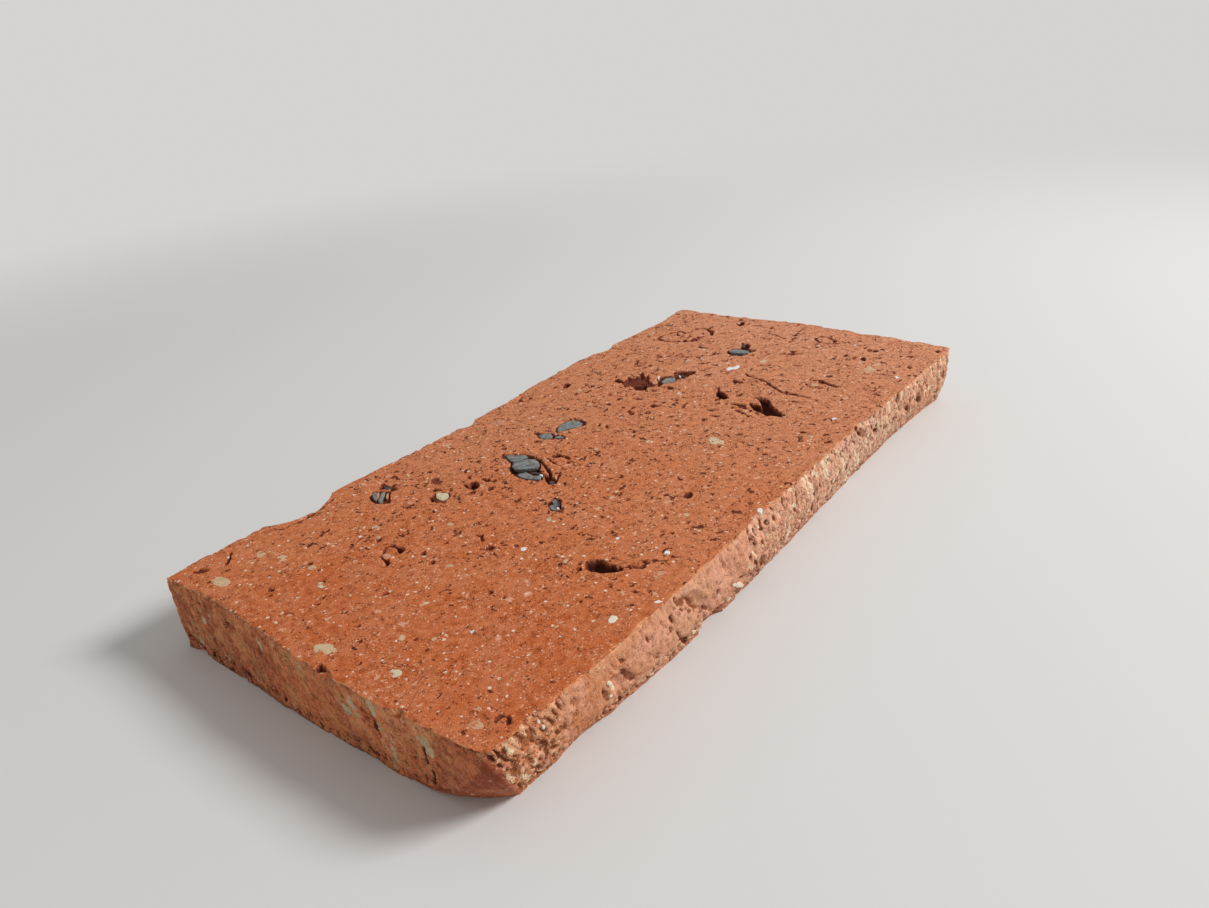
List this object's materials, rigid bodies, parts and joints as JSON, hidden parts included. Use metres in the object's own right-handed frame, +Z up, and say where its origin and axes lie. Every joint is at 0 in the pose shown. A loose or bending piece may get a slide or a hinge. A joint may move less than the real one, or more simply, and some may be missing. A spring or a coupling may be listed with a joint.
{
  "type": "clay brick",
  "caption": "Thin old clay floor brick, sawn flat on both large faces, with weathered, chipped edge faces, open voids and one broken corner.",
  "frame": {"origin": "under the middle of the slab, on its sawn underside", "axes": "+X along the length from the near end to the far end, +Y towards the left side, +Z up through the thickness"},
  "size_m": [0.256, 0.1236, 0.022],
  "materials": {
    "fired_clay": "matte"
  },
  "bodies": {
    "root": {"clay_brick": "fired_clay"}
  },
  "joints": []
}
